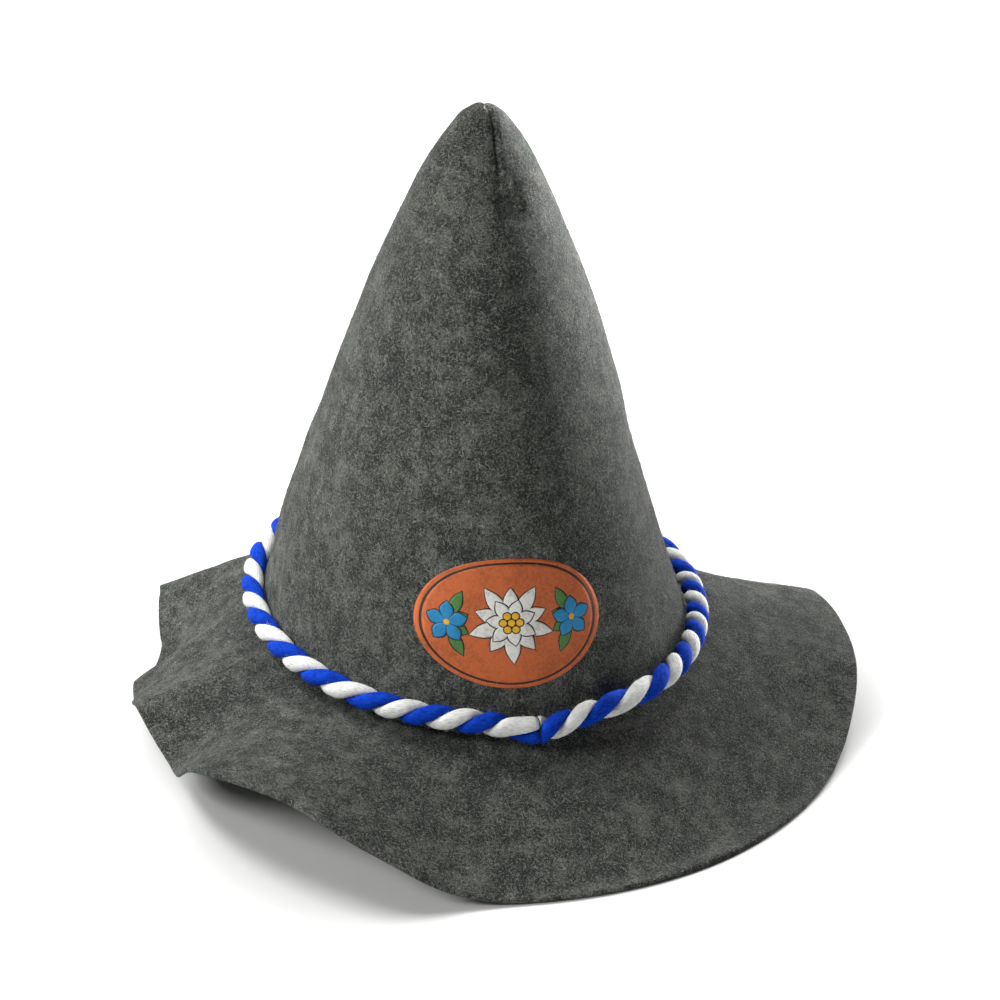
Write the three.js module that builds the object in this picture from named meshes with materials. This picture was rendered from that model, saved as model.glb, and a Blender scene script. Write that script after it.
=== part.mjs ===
// Alpine felt hat: a tall pointed crown, a soft wavy brim, a two-strand twisted cord and a thin badge.
// Millimetres, +Z up. The front of the hat faces -Y and the brim rests on z = 0.
import * as THREE from 'three';

// Felt sheet, and the gap kept between pieces
const FELT = 2.0;
const GAP = 0.3;

// Stance: the hat leans a little forward on its uneven brim, whose lowest felt is pressed flat
const LEAN_DEG = 3.0;
const CORD_PLANE_HEIGHT = 50.3;

// Crown sections, a row each, with heights taken from the plane of the cord
const CROWN_TIP = 207.6;
const BASE_FLARE = 0.34;
const EDGE_DROP = 7.5;
const EDGE_BEVEL = 1.6;
const CORD_LINE = { height: 0, halfWidth: 85.9, halfDepth: 105.9, shift: 0 };
const CROWN_EDGE = {
  height: -EDGE_DROP,
  halfWidth: CORD_LINE.halfWidth + BASE_FLARE * EDGE_DROP,
  halfDepth: CORD_LINE.halfDepth + BASE_FLARE * EDGE_DROP,
  shift: 0,
};
const CROWN_SECTIONS = [
  CROWN_EDGE,
  CORD_LINE,
  { height: 31, halfWidth: 77.0, halfDepth: 95.0, shift: -2 },
  { height: 67, halfWidth: 65.4, halfDepth: 78.5, shift: -1.8 },
  { height: 104, halfWidth: 54.0, halfDepth: 62.5, shift: -0.5 },
  { height: 138, halfWidth: 42.3, halfDepth: 47.2, shift: 0 },
  { height: 167, halfWidth: 30.3, halfDepth: 32.5, shift: 0 },
  { height: 188, halfWidth: 19.7, halfDepth: 20.4, shift: 0 },
  { height: 199.6, halfWidth: 11.8, halfDepth: 11.9, shift: 0 },
  { height: 204.8, halfWidth: 7.2, halfDepth: 7.2, shift: 0 },
  { height: CROWN_TIP, halfWidth: 0, halfDepth: 0, shift: 0 },
];
const TIP_ROW = CROWN_SECTIONS.length - 1;
const CROWN_COLUMNS = 64;
const CROWN_STEPS_PER_ROW = 2;

// Soft crease down the front of the crown: its rise is a share of the crown's half width
const CREASE_SHARE = 0.24;
const CREASE_SPREAD_DEG = 36;
const CREASE_ROUND_DEG = 8;
const CREASE_SIDE_DEG = { start: 45, end: 100 };
const CREASE_LEAN_DEG = { foot: -2, tip: -13 };
const CREASE_FOOT = { start: 10, end: 100 };
const CREASE_TOP = { start: 165, end: 200 };

// Dart sewn over the tip from front to back
const DART_LENGTH = 27;
const DART_FADE = 13.5;
const DART_DEPTH = 2.4;
const DART_HALF_WIDTH = 2.4;

// Brim folds, a row each: angle round from the front, slope below level at the rim, width of the felt
const BRIM_FOLDS = [
  { angle: -180, slope: 55, width: 70 },
  { angle: -160, slope: 55, width: 70 },
  { angle: -148, slope: 48, width: 71 },
  { angle: -134, slope: 30, width: 74 },
  { angle: -129, slope: 30, width: 70 },
  { angle: -120, slope: 48, width: 71 },
  { angle: -110, slope: 51, width: 71 },
  { angle: -103, slope: 38, width: 67 },
  { angle: -93, slope: 32, width: 64 },
  { angle: -82, slope: 16, width: 61 },
  { angle: -72, slope: 26, width: 62 },
  { angle: -66, slope: 23, width: 64 },
  { angle: -55, slope: 1, width: 69 },
  { angle: -41, slope: -5, width: 69 },
  { angle: -28, slope: 7, width: 70 },
  { angle: -15, slope: 25, width: 71 },
  { angle: 0, slope: 30, width: 71 },
  { angle: 20, slope: 32, width: 73 },
  { angle: 40, slope: 31, width: 75 },
  { angle: 60, slope: 25, width: 76 },
  { angle: 75, slope: 15, width: 77 },
  { angle: 95, slope: 14, width: 79 },
  { angle: 105, slope: 25, width: 77 },
  { angle: 118, slope: 44, width: 73 },
  { angle: 150, slope: 54, width: 71 },
];
const BRIM_COLUMNS_PER_FOLD = 4;
const BRIM_STATIONS = [0.12, 0.26, 0.42, 0.58, 0.74, 0.87, 0.95, 1];
const SEAM_SLOPE_DEG = 8;
const SEAM_SHARE = 0.5;
const DROOP_END = 0.75;

// Part of the brim that drops steeply from the crown and flattens out towards the rim
const BOW_DEG = 17;
const BOW_ANGLE_DEG = 36;
const BOW_SPREAD_DEG = 34;

// Sewing margin of the brim, turned up inside the foot of the crown
const MARGIN_TOP = 5;
const MARGIN_FOOT = -7.2;
const MARGIN_GAP = 0.65;
const BEND_RADIUS = 2.2;
const BEND_STEPS = 2;

// Twisted cord
const STRAND_RADIUS = 2.2;
const STRAND_OFFSET = 2.35;
const STRAND_SIDES = 5;
const CORD_TURNS = 30;
const STEPS_PER_TURN = 8;
const CORD_WALL_HEIGHT = -1.5;
const END_EASE = 0.004;
const JOIN_ANGLE_DEG = -2;
const JOIN_DIP = 3.5;
const JOIN_DIP_SPREAD_DEG = 9;
const JOIN_HALF_GAP_DEG = 0.42;

// Thread bound round the join of the cord
const TIE_RING_RADIUS = 4.3;
const TIE_THREAD_RADIUS = 0.35;
const TIE_THREAD_SIDES = 6;
const TIE_STEPS = 28;

// Front badge
const BADGE_ANGLE_DEG = -6;
const BADGE_HEIGHT = 34;
const BADGE_HALF_WIDTH = 36;
const BADGE_HALF_HEIGHT = 25;
const BADGE_FILM = 0.5;
const BADGE_RINGS = 5;
const BADGE_COLUMNS = 36;

// Small steps for slopes and for finding a row of the crown table
const PROBE = 0.01;
const SEARCH_STEPS = 40;

const { clamp, degToRad, euclideanModulo, lerp, radToDeg, smoothstep } = THREE.MathUtils;

// Table with a row added at each end, so that its smooth curve runs through both of its ends
const mirroredTip = { ...CROWN_SECTIONS[TIP_ROW - 1] };
mirroredTip.halfWidth *= -1;
mirroredTip.halfDepth *= -1;
const crownTable = [...CROWN_SECTIONS, mirroredTip];
const turned = (fold, turn) => ({ ...fold, angle: fold.angle + turn });
const brimTable = [
  turned(BRIM_FOLDS[BRIM_FOLDS.length - 1], -360),
  ...BRIM_FOLDS,
  turned(BRIM_FOLDS[0], 360),
  turned(BRIM_FOLDS[1], 360),
];

// Smooth value of one column of a table, where t counts its rows
function sampleTable(rows, column, t) {
  const row = Math.min(Math.floor(t), rows.length - 2);
  const f = t - row;
  const value = (k) => rows[clamp(k, 0, rows.length - 1)][column];
  const [a, b, c, d] = [value(row - 1), value(row), value(row + 1), value(row + 2)];
  const bend = 2 * a - 5 * b + 4 * c - d;
  const twist = 3 * b - a - 3 * c + d;
  return b + 0.5 * f * (c - a + f * (bend + f * twist));
}

// Place in the crown table of a height
function crownRowAt(height) {
  let low = 0;
  let high = TIP_ROW;
  for (let i = 0; i < SEARCH_STEPS; i++) {
    const middle = (low + high) / 2;
    if (sampleTable(crownTable, 'height', middle) < height) {
      low = middle;
    } else {
      high = middle;
    }
  }
  return low;
}

// Rise of the front crease above the plain oval, as a share of the crown's half width
function creaseShare(angle, height) {
  const crest = lerp(CREASE_LEAN_DEG.foot, CREASE_LEAN_DEG.tip, height / CROWN_TIP);
  const fromCrest = euclideanModulo(radToDeg(angle) - crest + 180, 360) - 180;
  const away = Math.hypot(fromCrest, CREASE_ROUND_DEG);
  const foot = smoothstep(height, CREASE_FOOT.start, CREASE_FOOT.end);
  const top = 1 - smoothstep(height, CREASE_TOP.start, CREASE_TOP.end);
  const side = 1 - smoothstep(away, CREASE_SIDE_DEG.start, CREASE_SIDE_DEG.end);
  return CREASE_SHARE * foot * top * side * Math.exp(-away / CREASE_SPREAD_DEG);
}

// Smooth outer face of the crown, before the dart
function crownFace(angle, t) {
  const height = sampleTable(crownTable, 'height', t);
  const halfWidth = sampleTable(crownTable, 'halfWidth', t);
  const halfDepth = sampleTable(crownTable, 'halfDepth', t);
  const rise = halfWidth * creaseShare(angle, height);
  const x = sampleTable(crownTable, 'shift', t) + (halfWidth + rise) * Math.sin(angle);
  return new THREE.Vector3(x, -(halfDepth + rise) * Math.cos(angle), height);
}

function crownNormal(angle, t) {
  if (t > TIP_ROW - PROBE) {
    return new THREE.Vector3(0, 0, 1);
  }
  const around = crownFace(angle + PROBE, t).sub(crownFace(angle - PROBE, t));
  const upward = crownFace(angle, t + PROBE).sub(crownFace(angle, Math.max(t - PROBE, 0)));
  return around.cross(upward).normalize();
}

// Depth of the dart's groove, with a low lip along each side
function dartDepth(point) {
  const q = (point.x / DART_HALF_WIDTH) ** 2;
  const foot = CROWN_TIP - DART_LENGTH;
  const fade = smoothstep(point.z, foot, foot + DART_FADE);
  return DART_DEPTH * fade * (1 - q) * Math.exp(-q);
}

function crownPoint(angle, t, inset) {
  const point = crownFace(angle, t);
  return point.addScaledVector(crownNormal(angle, t), -inset - dartDepth(point));
}

// Sets a point of the upright hat in its stance on the floor
function stand(point) {
  point.applyAxisAngle(new THREE.Vector3(1, 0, 0), degToRad(LEAN_DEG));
  point.z += CORD_PLANE_HEIGHT;
  return point;
}

// Closed wall between two faces, each a list of columns of points round the hat
function wallGeometry(outer, inner) {
  const columns = outer.length;
  const outlines = outer.map((column, i) => [...column, ...inner[i].toReversed(), column[0]]);
  const rows = outlines[0].length;
  const profile = outlines[0].map((p) => new THREE.Vector2(Math.hypot(p.x, p.y), p.z));
  const geometry = new THREE.LatheGeometry(profile, columns);
  const position = geometry.getAttribute('position');
  for (let i = 0; i <= columns; i++) {
    outlines[i % columns].forEach((p, j) => position.setXYZ(i * rows + j, p.x, p.y, p.z));
  }
  geometry.computeVertexNormals();
  return geometry;
}

function crownGeometry() {
  const bevelRow = crownRowAt(EDGE_BEVEL - EDGE_DROP);
  const rows = Array.from({ length: TIP_ROW * CROWN_STEPS_PER_ROW + 1 }, (_, j) => j / CROWN_STEPS_PER_ROW);
  const angles = Array.from({ length: CROWN_COLUMNS }, (_, i) => (2 * Math.PI * i) / CROWN_COLUMNS);
  const outer = angles.map((angle) => rows.map((t) => stand(crownPoint(angle, t, 0))));
  const innerPoint = (angle, t) => stand(crownPoint(angle, Math.max(t, bevelRow), FELT));
  const inner = angles.map((angle) => rows.map((t) => innerPoint(angle, t)));
  return wallGeometry(outer, inner);
}

// Foot of the crown as a straight flare: a point off its outer face, and the way out from it
function footWall(angle, height, standOff) {
  const halfWidth = CORD_LINE.halfWidth - BASE_FLARE * height;
  const halfDepth = CORD_LINE.halfDepth - BASE_FLARE * height;
  const outward = new THREE.Vector3(Math.sin(angle) / halfWidth, -Math.cos(angle) / halfDepth, 0);
  outward.normalize();
  const normal = new THREE.Vector3(outward.x, outward.y, BASE_FLARE).normalize();
  const point = new THREE.Vector3(halfWidth * Math.sin(angle), -halfDepth * Math.cos(angle), height);
  point.addScaledVector(normal, standOff);
  return { point, outward };
}

// Middle of the brim's felt from its sewing margin out to its rim, at a place in the table of folds
function brimColumn(t) {
  const angleDeg = sampleTable(brimTable, 'angle', t + 1);
  const angle = degToRad(angleDeg);
  const slope = degToRad(sampleTable(brimTable, 'slope', t + 1));
  const width = sampleTable(brimTable, 'width', t + 1);
  const inset = 1.5 * FELT + MARGIN_GAP;
  const { point, outward } = footWall(angle, MARGIN_FOOT, -inset);
  const column = [footWall(angle, MARGIN_TOP, -inset).point, point.clone()];
  const walk = (length, dip) => {
    point.addScaledVector(outward, length * Math.cos(dip));
    point.z -= length * Math.sin(dip);
    column.push(point.clone());
  };
  const bow = degToRad(BOW_DEG) * Math.exp(-(((angleDeg - BOW_ANGLE_DEG) / BOW_SPREAD_DEG) ** 2));
  const wallDip = Math.PI / 2 - Math.atan(BASE_FLARE);
  const seamDip = degToRad(SEAM_SLOPE_DEG) + SEAM_SHARE * slope;
  const turn = (wallDip - seamDip - bow) / BEND_STEPS;
  for (let i = 0; i < BEND_STEPS; i++) {
    walk(BEND_RADIUS * turn, wallDip - (i + 0.5) * turn);
  }
  BRIM_STATIONS.forEach((station, i) => {
    const from = i ? BRIM_STATIONS[i - 1] : 0;
    const share = (from + station) / 2;
    const droop = smoothstep(share, 0, DROOP_END);
    walk((station - from) * width, lerp(seamDip, slope, droop) + bow * (1 - 2 * share));
  });
  return column;
}

function brimGeometry() {
  const count = BRIM_FOLDS.length * BRIM_COLUMNS_PER_FOLD;
  const sheet = Array.from({ length: count }, (_, i) => brimColumn(i / BRIM_COLUMNS_PER_FOLD).map(stand));
  const lastRow = sheet[0].length - 1;
  const lowest = FELT / 2;
  const pressed = sheet.map((column) => column.map((p) => p.z <= lowest));
  sheet.flat().forEach((p) => p.setZ(Math.max(p.z, lowest)));
  const normalAt = (i, j) => {
    if (pressed[i][j]) {
      return new THREE.Vector3(0, 0, 1);
    }
    const along = sheet[(i + 1) % count][j].clone().sub(sheet[(i + count - 1) % count][j]);
    const outward = sheet[i][Math.min(j + 1, lastRow)].clone().sub(sheet[i][Math.max(j - 1, 0)]);
    return outward.cross(along).normalize();
  };
  const face = (offset) =>
    sheet.map((column, i) => column.map((p, j) => p.clone().addScaledVector(normalAt(i, j), offset)));
  return wallGeometry(face(-FELT / 2), face(FELT / 2));
}

// Centre line of the cord, which dips where its two ends meet
function cordCentre(angleDeg) {
  const fromJoin = euclideanModulo(angleDeg - JOIN_ANGLE_DEG + 180, 360) - 180;
  const dip = JOIN_DIP * Math.exp(-((fromJoin / JOIN_DIP_SPREAD_DEG) ** 2));
  return footWall(degToRad(angleDeg), CORD_WALL_HEIGHT - dip, STRAND_OFFSET + STRAND_RADIUS + GAP);
}

// Centre line of one strand, which winds round the cord and runs straight at the ends
class StrandCurve extends THREE.Curve {
  constructor(phase) {
    super();
    this.phase = phase;
  }

  getPoint(t) {
    const span = 360 - 2 * JOIN_HALF_GAP_DEG;
    const { point, outward } = cordCentre(JOIN_ANGLE_DEG + JOIN_HALF_GAP_DEG + span * t);
    const eased = t + END_EASE * (Math.exp(-t / END_EASE) - Math.exp((t - 1) / END_EASE));
    const twist = this.phase + 2 * Math.PI * CORD_TURNS * eased;
    point.addScaledVector(outward, STRAND_OFFSET * Math.cos(twist));
    point.z += STRAND_OFFSET * Math.sin(twist);
    return stand(point);
  }
}

function roundShape(radius, sides) {
  const corners = Array.from({ length: sides }, (_, i) => {
    const a = (2 * Math.PI * i) / sides;
    return new THREE.Vector2(radius * Math.cos(a), radius * Math.sin(a));
  });
  return new THREE.Shape(corners);
}

function strandGeometry(phase) {
  const options = { steps: CORD_TURNS * STEPS_PER_TURN, extrudePath: new StrandCurve(phase) };
  return new THREE.ExtrudeGeometry(roundShape(STRAND_RADIUS, STRAND_SIDES), options);
}

function tieGeometry() {
  const { point, outward } = cordCentre(JOIN_ANGLE_DEG);
  const up = new THREE.Vector3(0, 0, 1);
  const frame = new THREE.Matrix4().makeBasis(outward, up, outward.clone().cross(up)).setPosition(point);
  const geometry = new THREE.TorusGeometry(TIE_RING_RADIUS, TIE_THREAD_RADIUS, TIE_THREAD_SIDES, TIE_STEPS);
  return geometry.applyMatrix4(frame).rotateX(degToRad(LEAN_DEG)).translate(0, 0, CORD_PLANE_HEIGHT);
}

// Thin oval film that follows the crown, built in rings from its edge to its middle
function badgeGeometry() {
  const middleAngle = degToRad(BADGE_ANGLE_DEG);
  const middleRow = crownRowAt(BADGE_HEIGHT);
  const reach = sampleTable(crownTable, 'halfWidth', middleRow);
  const normal = crownNormal(middleAngle, middleRow);
  const upright = Math.hypot(normal.x, normal.y);
  const filmPoint = (a, ring, lift) => {
    const across = BADGE_HALF_WIDTH * ring * Math.cos(a);
    const along = BADGE_HALF_HEIGHT * ring * Math.sin(a);
    const row = crownRowAt(BADGE_HEIGHT + along * upright);
    return stand(crownPoint(middleAngle + across / reach, row, -lift));
  };
  const rings = Array.from({ length: BADGE_RINGS + 1 }, (_, j) => 1 - j / BADGE_RINGS);
  const angles = Array.from({ length: BADGE_COLUMNS }, (_, i) => (2 * Math.PI * i) / BADGE_COLUMNS);
  const face = (lift) => angles.map((a) => rings.map((ring) => filmPoint(a, ring, lift)));
  return wallGeometry(face(GAP + BADGE_FILM), face(GAP));
}

function piece(name, geometry, color, roughness) {
  const material = new THREE.MeshStandardMaterial({ color, roughness, metalness: 0 });
  const mesh = new THREE.Mesh(geometry, material);
  mesh.name = name;
  return mesh;
}

const hat = new THREE.Group();
hat.name = 'alpine_felt_hat';
hat.add(
  piece('crown', crownGeometry(), 0x4b4d4b, 0.95),
  piece('brim', brimGeometry(), 0x4b4d4b, 0.95),
  piece('cord_strand_blue', strandGeometry(0), 0x0f35c8, 0.8),
  piece('cord_strand_white', strandGeometry(Math.PI), 0xf0efe9, 0.8),
  piece('cord_tie', tieGeometry(), 0x161a30, 0.8),
  piece('front_badge', badgeGeometry(), 0xcd6a37, 0.55),
);

// The origin is the middle of the footprint
const middle = new THREE.Box3().setFromObject(hat, true).getCenter(new THREE.Vector3());
hat.children.forEach((mesh) => mesh.position.set(-middle.x, -middle.y, 0));

export default hat;
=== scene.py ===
import math
from collections import namedtuple

import bpy
import numpy as np
from mathutils import Matrix, Vector


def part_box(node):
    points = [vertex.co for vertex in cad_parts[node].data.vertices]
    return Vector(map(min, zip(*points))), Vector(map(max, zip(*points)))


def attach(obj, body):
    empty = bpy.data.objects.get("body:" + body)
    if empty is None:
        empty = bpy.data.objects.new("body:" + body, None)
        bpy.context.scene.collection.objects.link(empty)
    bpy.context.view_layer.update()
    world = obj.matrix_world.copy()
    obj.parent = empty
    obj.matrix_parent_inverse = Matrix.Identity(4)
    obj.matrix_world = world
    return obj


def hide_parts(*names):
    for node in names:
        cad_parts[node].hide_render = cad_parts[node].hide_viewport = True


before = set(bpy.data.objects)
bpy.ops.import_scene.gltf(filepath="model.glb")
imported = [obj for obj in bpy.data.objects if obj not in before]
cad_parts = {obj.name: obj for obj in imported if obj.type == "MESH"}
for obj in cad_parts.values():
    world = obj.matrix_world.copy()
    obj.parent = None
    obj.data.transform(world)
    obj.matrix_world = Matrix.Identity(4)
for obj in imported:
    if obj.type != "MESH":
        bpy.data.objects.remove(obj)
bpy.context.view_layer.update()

# Alpine felt hat in metres, +Z up. The front of the hat faces -Y and the brim rests on z = 0.

# Felt sheet, gap between pieces, and the hat's forward lean on its uneven brim
FELT = 0.0020
GAP = 0.0003
LEAN = math.radians(3.0)
CORD_PLANE_HEIGHT = 0.0503

# Crown sections, a row each, with heights taken from the plane of the cord
Section = namedtuple("Section", "height half_width half_depth shift")
CROWN_TIP = 0.2076
BASE_FLARE = 0.34
EDGE_DROP = 0.0075
CORD_HALF_WIDTH = 0.0859
CORD_HALF_DEPTH = 0.1059
EDGE_SPREAD = BASE_FLARE * EDGE_DROP
CROWN_SECTIONS = (
    Section(-EDGE_DROP, CORD_HALF_WIDTH + EDGE_SPREAD, CORD_HALF_DEPTH + EDGE_SPREAD, 0),
    Section(0, CORD_HALF_WIDTH, CORD_HALF_DEPTH, 0),
    Section(0.0310, 0.0770, 0.0950, -0.0020),
    Section(0.0670, 0.0654, 0.0785, -0.0018),
    Section(0.1040, 0.0540, 0.0625, -0.0005),
    Section(0.1380, 0.0423, 0.0472, 0),
    Section(0.1670, 0.0303, 0.0325, 0),
    Section(0.1880, 0.0197, 0.0204, 0),
    Section(0.1996, 0.0118, 0.0119, 0),
    Section(0.2048, 0.0072, 0.0072, 0),
    Section(CROWN_TIP, 0, 0, 0),
)
TIP_ROW = len(CROWN_SECTIONS) - 1
CROWN_COLUMNS = 320
COLUMN_CROWDING = 0.9
OUTER_STEPS_PER_ROW = 14
INNER_STEPS_PER_ROW = 5
EDGE_ROUND_STEPS = 5

# Soft crease down the front of the crown: its rise is a share of the crown's half width
CREASE_SHARE = 0.24
CREASE_SPREAD = math.radians(36)
CREASE_ROUND = math.radians(8)
CREASE_SIDE = (math.radians(45), math.radians(100))
CREASE_LEAN = (math.radians(-2), math.radians(-13))
CREASE_FOOT = (0.010, 0.100)
CREASE_TOP = (0.165, 0.200)

# Dart sewn over the tip from front to back: a slit between round lips, with a pucker and a dent below
DART_SIDE = 0.0014
DART_LENGTH = 0.0248
DART_FADE = 0.009
DART_WANDER = 0.0004
DART_OPENING = 0.00045
LIP_RADIUS = 0.0021
LIP_RISE = 0.00035
LIP_REACH = 0.0024
NOTCH_SHARE = 0.5
NOTCH_END = 0.008
FOLD_DEPTH = 0.0024
FOLD_HALF_WIDTH = 0.0024
PUCKER_RISE = 0.0018
PUCKER_SIDE = 0.0018
PUCKER_DROP = 0.0258
PUCKER_SPREAD = 0.0022
DENT_DEPTH = 0.0040
DENT_SIDE = 0.0012
DENT_DROP = 0.0308
DENT_SPREAD = 0.0044

# Brim folds, a row each: degrees round from the front, slope below level at the rim, width of the felt
Fold = namedtuple("Fold", "angle slope width")
BRIM_FOLDS = (
    Fold(-180, 55, 0.070),
    Fold(-160, 55, 0.070),
    Fold(-148, 48, 0.071),
    Fold(-134, 30, 0.074),
    Fold(-129, 30, 0.070),
    Fold(-120, 48, 0.071),
    Fold(-110, 51, 0.071),
    Fold(-103, 38, 0.067),
    Fold(-93, 32, 0.064),
    Fold(-82, 16, 0.061),
    Fold(-72, 26, 0.062),
    Fold(-66, 23, 0.064),
    Fold(-55, 1, 0.069),
    Fold(-41, -5, 0.069),
    Fold(-28, 7, 0.070),
    Fold(-15, 25, 0.071),
    Fold(0, 30, 0.071),
    Fold(20, 32, 0.073),
    Fold(40, 31, 0.075),
    Fold(60, 25, 0.076),
    Fold(75, 15, 0.077),
    Fold(95, 14, 0.079),
    Fold(105, 25, 0.077),
    Fold(118, 44, 0.073),
    Fold(150, 54, 0.071),
)
BRIM_COLUMNS_PER_FOLD = 16
BRIM_STEPS = 44
SEAM_SLOPE = math.radians(8)
SEAM_SHARE = 0.5
DROOP_END = 0.75
REST_SOFTNESS = 0.0006

# Part of the brim that drops steeply from the crown and flattens out towards the rim
BOW = math.radians(17)
BOW_ANGLE = math.radians(36)
BOW_SPREAD = math.radians(34)

# Sewing margin of the brim, turned up inside the foot of the crown, and the brim's rounded rim
MARGIN_TOP = 0.0050
MARGIN_FOOT = -0.0072
MARGIN_GAP = 0.00065
MARGIN_STEPS = 6
BEND_RADIUS = 0.0022
BEND_STEPS = 6
RIM_ROUND = 0.0005
RIM_SHARES = (0.75, 0.50, 0.25)
RIM_CLEAR_STEPS = 3

# Gentle unevenness of the felt, which on the brim grows with the distance from the crown
WAVE_COUNT = 24
CROWN_WAVES = (0.022, 0.070)
CROWN_WAVE_HEIGHT = 0.00022
CROWN_WAVE_SEED = 3
BRIM_WAVES = (0.016, 0.055)
BRIM_WAVE_HEIGHT = 0.00028
BRIM_WAVE_REACH = 0.02
BRIM_WAVE_SEED = 8

# Twisted cord of two strands, each of many yarns, that swells and dips where its two ends meet
CORD_RADIUS = 0.0045
STRAND_OFFSET = 0.0022
CORD_STAND_OFF = 0.0050
STRAND_OUTSIDE = 0.70
STRAND_GROOVE = 0.38
STRAND_FULLNESS = 3.0
STEPS_PER_TURN = 30
YARNS = 24
POINTS_PER_YARN = 3
YARN_GROOVE = 0.045
YARN_TURNS = -1.2
CORD_WALL_HEIGHT = -0.0015
JOIN_DEGREES = -2
JOIN_DIP = 0.0035
JOIN_DIP_DEGREES = 9
END_ROUND = 0.0014
END_SCALE = 0.84
END_SWELL = 0.16
END_SWELL_REACH = 0.007

# Twist of the cord, a row each: degrees round from the front, from end to end, and turns made by there
Twist = namedtuple("Twist", "angle turns")
CORD_TWIST = (
    Twist(-1.9, 0.84),
    Twist(0.4, 1.09),
    Twist(14, 2.10),
    Twist(33, 3.13),
    Twist(46, 4.17),
    Twist(58, 5.22),
    Twist(67, 6.26),
    Twist(78, 7.31),
    Twist(88, 8.34),
    Twist(124, 11.1),
    Twist(160, 13.8),
    Twist(196, 16.6),
    Twist(231, 19.36),
    Twist(246, 20.31),
    Twist(261, 21.24),
    Twist(275, 22.18),
    Twist(290, 23.14),
    Twist(304, 24.11),
    Twist(319, 25.10),
    Twist(332, 26.09),
    Twist(345, 27.08),
    Twist(351, 27.59),
    Twist(357.9, 27.84),
)
TWIST_SAMPLES = 4001
TWIST_ROWS = np.linspace(0, len(CORD_TWIST) - 1, TWIST_SAMPLES)

# Thread bound round the join of the cord
TIE_TAUTNESS = 0.80
TIE_THREAD = 0.00013
TIE_TURNS = 2
TIE_STEPS = 60
TIE_SIDES = 8
TIE_SPREAD = 0.0002
TIE_START = math.pi

# Front badge: a thin printed film, with layers of ink on it
BADGE_DEGREES = -6
BADGE_HEIGHT = 0.034
BADGE_HALF_WIDTH = 0.036
BADGE_HALF_HEIGHT = 0.025
FILM_LIFT = 0.00005
FILM_TOP = 0.00014
INK = 0.000012
BORDER_LAYER = 1
LEAF_LAYER = 3
FLOWER_LAYER = 5
INNER_LAYER = 7
HEAD_LAYER = 9
GROUND_STEPS = 41
BORDER_OUTSIDE = 0.945
BORDER_INSIDE = 0.915
OUTLINE = 0.00045
PETAL_STEPS = 13
PETAL_COLUMNS = 7
PETAL_FULLNESS = 1.25
PETAL_TIP = 0.03
HEAD_COUNT = 6
HEAD_RING = 0.0030
HEAD_RADIUS = 0.0013
HEAD_STEPS = 9
EDELWEISS_UP = 0.0005
GENTIAN_OUT = 0.0235
GENTIAN_UP = -0.0005
LEAF_HALF_WIDTH = 0.0021
LEAVES = ((115, 0.0135), (-115, 0.0135), (155, 0.0085), (-155, 0.0085))
Flower = namedtuple("Flower", "ink petals turn length short half_width eye")
EDELWEISS_OUTER = Flower("white", 10, math.radians(90), 0.0160, 0.84, 0.0027, 0)
EDELWEISS_INNER = Flower("white", 7, math.radians(72), 0.0098, 0.92, 0.0023, 0)
GENTIAN = Flower("blue", 5, math.radians(90), 0.0078, 1.0, 0.0025, 0.0011)

# Loose fibres: how many, their length and radius, and how far they rise for their length
Fibre = namedtuple("Fibre", "count length radius rise")
FIBRE_CURL = 0.5
FIBRE_LENGTHS = (0.5, 1.5)
FIBRE_RADII = (0.7, 1.3)
CROWN_FIBRES = (
    Fibre(6500, 0.0026, 0.000040, (0.02, 0.22)),
    Fibre(4000, 0.0024, 0.000040, (0.02, 0.16)),
    Fibre(60, 0.0036, 0.000075, (0.05, 0.20)),
)
BRIM_FIBRES = (
    Fibre(5500, 0.0026, 0.000040, (0.02, 0.22)),
    Fibre(3500, 0.0024, 0.000040, (0.02, 0.16)),
    Fibre(50, 0.0036, 0.000070, (0.05, 0.20)),
)
CORD_FIBRES = (Fibre(2600, 0.0016, 0.000028, (0.05, 0.45)),)
CROWN_FIBRE_SEED = 11
BRIM_FIBRE_SEED = 12
CORD_FIBRE_SEED = 13
FIBRE_POINTS = 8
FIBRE_FACES = np.array([
    face
    for a, b in ((0, 1), (1, 2), (2, 0))
    for face in ([0, 1 + a, 1 + b], [1 + a, 4 + a, 4 + b], [1 + a, 4 + b, 1 + b], [7, 4 + b, 4 + a])
])

# Colours, as linear red, green and blue
FELT_DARK = (0.0355, 0.0404, 0.0361, 1)
FELT_WARM = (0.552, 0.563, 0.497, 1)
FELT_COOL = (0.534, 0.566, 0.508, 1)
FIBRE_LIGHT = (0.330, 0.340, 0.310, 1)
FIBRE_DARK = (0.014, 0.016, 0.015, 1)
FIBRE_WHITE = (0.700, 0.690, 0.640, 1)
BLUE_DEEP = (0.0006, 0.014, 0.190, 1)
BLUE_BRIGHT = (0.0030, 0.062, 0.600, 1)
WHITE_DEEP = (0.580, 0.585, 0.555, 1)
WHITE_BRIGHT = (0.900, 0.905, 0.875, 1)
THREAD_DARK = (0.006, 0.007, 0.014, 1)
THREAD_LIGHT = (0.040, 0.044, 0.075, 1)
INKS = {
    "ground": (0.610, 0.140, 0.038, 1),
    "dark": (0.030, 0.018, 0.014, 1),
    "white": (0.840, 0.830, 0.780, 1),
    "yellow": (0.850, 0.480, 0.030, 1),
    "blue": (0.020, 0.270, 0.560, 1),
    "green": (0.085, 0.240, 0.060, 1),
}
FLOOR_COLOUR = (0.86, 0.86, 0.85, 1)

# Strands of the cord: colour, where each starts round the cord, its deep and its bright tone
STRANDS = (
    ("blue", 0.0, BLUE_DEEP, BLUE_BRIGHT),
    ("white", math.pi, WHITE_DEEP, WHITE_BRIGHT),
)

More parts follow.
